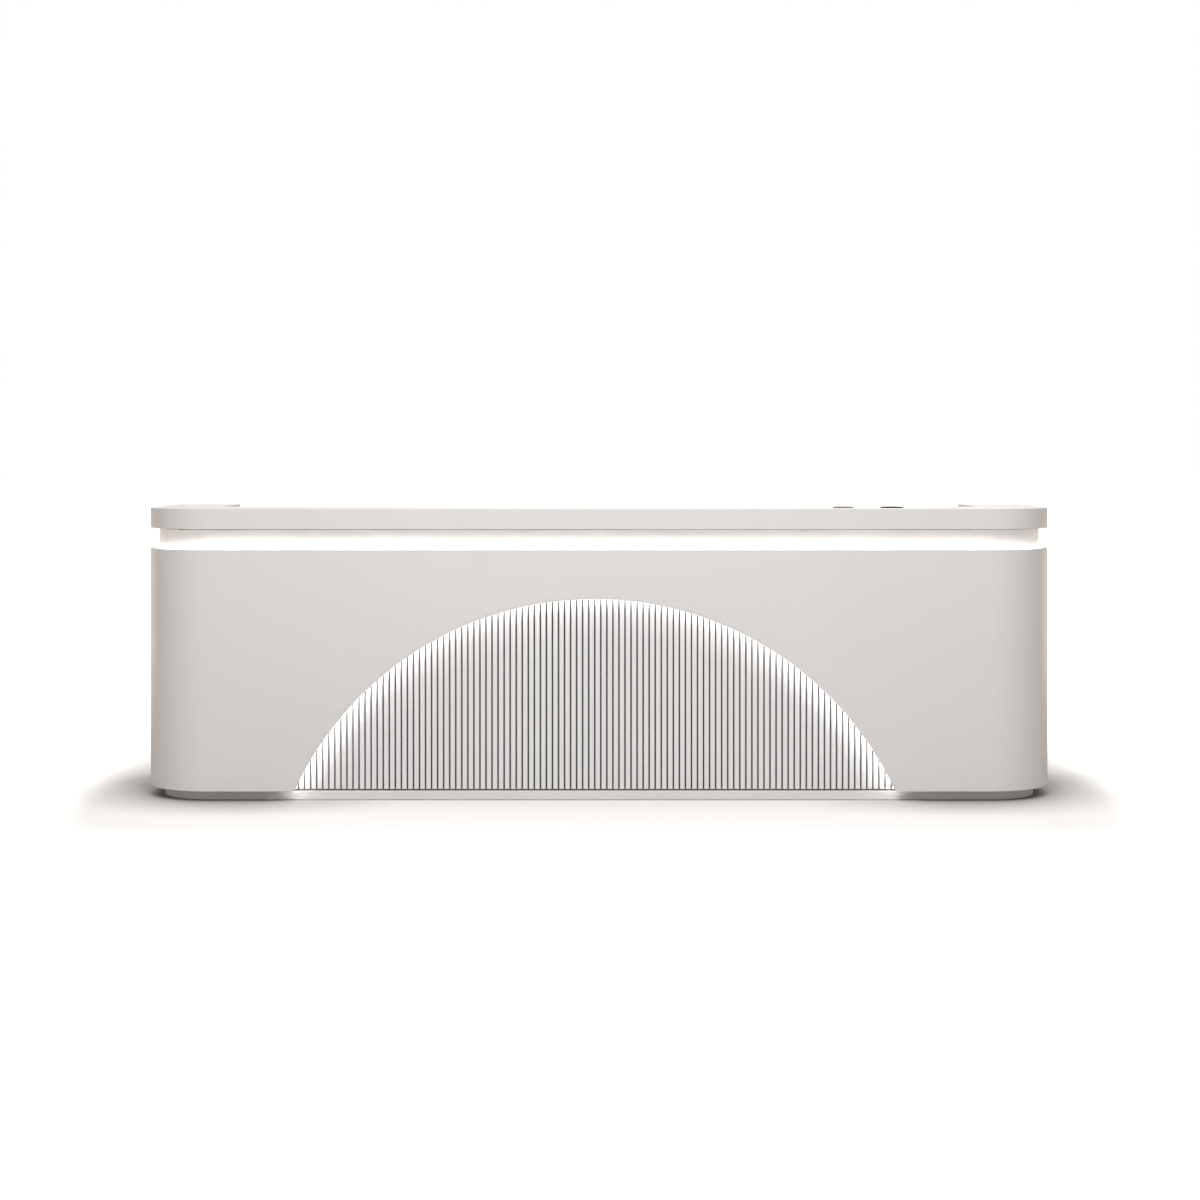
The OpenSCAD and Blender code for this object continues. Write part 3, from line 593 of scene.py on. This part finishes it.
def door_catch():
    """Magnetic catch under the worktop, and a steel plate on each door."""
    left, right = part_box("left_door"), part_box("right_door")
    meet = (left[1].x + right[0].x) / 2
    under = low_of("worktop").z
    inner = left[0].y
    catch = Part()
    catch.cuboid((meet - 22 * MM, inner - 32 * MM, under - 12 * MM), (meet + 22 * MM, inner - 2 * MM, under))
    catch.finish("door_catch", "grey_plastic", "counter", 0.8 * MM)
    poles = Part()
    for side in (-1, 1):
        x = meet + side * 11 * MM
        near = (x - 7 * MM, inner - 3 * MM, under - 10 * MM)
        poles.cuboid(near, (x + 7 * MM, inner - 1.2 * MM, under - 3 * MM))
    poles.finish("door_catch_poles", "zinc_steel", "counter", 0.2 * MM)
    for body, side in (("left_cupboard_door", -1), ("right_cupboard_door", 1)):
        plate = Part()
        middle = (meet + side * 12 * MM, inner, left[1].z - 10 * MM)
        plate.slab(rounded(8 * MM, 7 * MM, 2 * MM), 0.8 * MM, middle, (0, -1, 0))
        plate.pan_head((middle[0], inner - 0.8 * MM, middle[2]), (0, -1, 0), 1.6 * MM)
        plate.finish(body + "_catch_plate", "zinc_steel", body)


handle_collars()
hanger_screws()
hinge_screws()
driver_fittings()
lead_clips()
door_catch()


# ---- Studio -------------------------------------------------------------


def floor():
    """Pale floor with a painted soft contact shadow, fading to paler floor further out.

    The camera sees it brighter than the light it throws back, so it reads as white.
    """
    mesh = bpy.data.meshes.new("studio_floor")
    grid = bmesh.new()
    bmesh.ops.create_grid(grid, x_segments=2, y_segments=2, size=80)
    grid.to_mesh(mesh)
    grid.free()
    obj = bpy.data.objects.new("studio_floor", mesh)
    bpy.context.scene.collection.objects.link(obj)
    obj.location.z = -0.0005
    g = Graph("studio_floor")
    outside = g.place
    steps = (
        ("ABSOLUTE", None),
        ("SUBTRACT", (high.x, high.y, 0)),
        ("MAXIMUM", (0, 0, 0)),
        ("MULTIPLY", (2.2, 0.6, 0)),
    )
    for operation, value in steps:
        step = g.add("ShaderNodeVectorMath", operation=operation)
        g.link(outside, step.inputs[0])
        if value:
            step.inputs[1].default_value = value
        outside = step.outputs["Vector"]
    reach = g.add("ShaderNodeVectorMath", operation="LENGTH")
    g.link(outside, reach.inputs[0])
    # painted shade: the floor's colour rises from pale grey near the counter to past white further out
    away = g.span(reach.outputs["Value"], 0.3, 1.9, 0, 1)
    open_floor = g.mix(away, (0.89, 0.89, 0.89), (2.4, 2.4, 2.4))
    # painted shadow: ambient occlusion darkens the floor's colour near the counter
    near = g.add("ShaderNodeAmbientOcclusion", samples=8)
    near.inputs["Distance"].default_value = 0.34
    covered = g.span(near.outputs["AO"], 0.60, 1.0, 1, 0)
    # painted light: in front of the arch most of the painted shadow is taken out, where the arch glow falls
    unlit = g.span(g.maths("ABSOLUTE", g.axis("X"), 0), 0.70, 1.20, 0.12, 1)
    shadow = g.maths("MULTIPLY", covered, unlit)
    shaded = g.mix(shadow, open_floor, (0.47, 0.465, 0.46))
    # painted contact shadow: a darker line where the floor meets the counter's foot
    touch = g.add("ShaderNodeAmbientOcclusion", samples=8)
    touch.inputs["Distance"].default_value = 0.04
    contact = g.mix(g.span(touch.outputs["AO"], 0.50, 0.85, 0.8, 0), shaded, (0.22, 0.215, 0.21))
    seen = g.add("ShaderNodeLightPath").outputs["Is Camera Ray"]
    tone = g.mix(seen, (0.36, 0.355, 0.35), contact)
    matt = g.add("ShaderNodeBsdfDiffuse")
    g.link(tone, matt.inputs["Color"])
    g.link(matt.outputs["BSDF"], g.output.inputs["Surface"])
    obj.data.materials.append(g.mat)


def sky():
    """Soft light from all round: strongest above, weak and warm from the two ends."""
    world = bpy.data.worlds.new("studio")
    bpy.context.scene.world = world
    world.use_nodes = True
    tree = world.node_tree
    tree.nodes.clear()

    def add(kind, **settings):
        node = tree.nodes.new(kind)
        for key, value in settings.items():
            setattr(node, key, value)
        return node

    def ramp(source, *limits):
        node = add("ShaderNodeMapRange", interpolation_type="SMOOTHSTEP")
        tree.links.new(source, node.inputs["Value"])
        for socket, value in zip(("From Min", "From Max", "To Min", "To Max"), limits):
            node.inputs[socket].default_value = value
        return node.outputs["Result"]

    def maths(operation, *values):
        node = add("ShaderNodeMath", operation=operation)
        for socket, value in zip(node.inputs, values):
            tree.links.new(value, socket)
        return node.outputs["Value"]

    split = add("ShaderNodeSeparateXYZ")
    tree.links.new(add("ShaderNodeTexCoord").outputs["Generated"], split.inputs["Vector"])
    sideways = maths("ABSOLUTE", split.outputs["X"])
    end = ramp(sideways, 0.45, 0.95, 1.0, 0.60)
    top = ramp(split.outputs["Z"], 0.1, 0.9, 0.48, 0.95)
    warmth = ramp(sideways, 0.4, 1.0, 0, 1)
    tint = add("ShaderNodeMix", data_type="RGBA")
    tree.links.new(warmth, tint.inputs["Factor"])
    tint.inputs[6].default_value = (1.0, 0.99, 0.98, 1)
    tint.inputs[7].default_value = (1.0, 0.87, 0.74, 1)
    light = add("ShaderNodeBackground")
    tree.links.new(tint.outputs[2], light.inputs["Color"])
    tree.links.new(maths("MULTIPLY", end, top), light.inputs["Strength"])
    seen = add("ShaderNodeBackground")
    seen.inputs["Color"].default_value = (1, 1, 1, 1)
    seen.inputs["Strength"].default_value = 1.0
    choose = add("ShaderNodeMixShader")
    tree.links.new(add("ShaderNodeLightPath").outputs["Is Camera Ray"], choose.inputs["Fac"])
    tree.links.new(light.outputs["Background"], choose.inputs[1])
    tree.links.new(seen.outputs["Background"], choose.inputs[2])
    out = add("ShaderNodeOutputWorld")
    tree.links.new(choose.outputs["Shader"], out.inputs["Surface"])


def softbox(name, place, aim, size, power, color=(1.0, 0.985, 0.97)):
    data = bpy.data.lights.new(name, "AREA")
    data.shape = "RECTANGLE"
    data.size, data.size_y = size
    data.energy = power
    data.color = color
    obj = bpy.data.objects.new(name, data)
    bpy.context.scene.collection.objects.link(obj)
    obj.location = place
    obj.rotation_euler = (Vector(aim) - Vector(place)).to_track_quat("-Z", "Y").to_euler()
    obj.visible_camera = False


def camera():
    """Square to the customer face, at standing eye height, 7.6 m from it, with a level view."""
    data = bpy.data.cameras.new("camera")
    data.sensor_width = 36
    data.lens = 66.8
    data.shift_y = -0.125
    data.clip_end = 200
    obj = bpy.data.objects.new("camera", data)
    bpy.context.scene.collection.objects.link(obj)
    obj.location = (0.003, low.y - 7.6, 1.201)
    obj.rotation_euler = (math.radians(90), 0, 0)
    bpy.context.scene.camera = obj


floor()
sky()
softbox("front_key", (0, -3.4, 3.4), (0, low.y, 0.75), (2.6, 1.6), 98)
softbox("staff_fill", (0.6, 3.6, 3.6), (0, high.y, 0.6), (3.0, 2.0), 64)
for side in (-1, 1):
    place, aim = (side * 3.2, 1.5, 0.5), (side * high.x, -0.1, 0.5)
    softbox("end_rim", place, aim, (1.0, 0.8), 6, (1.0, 0.80, 0.60))
camera()
bpy.context.scene.view_settings.view_transform = "Standard"
bpy.context.scene.view_settings.look = "None"
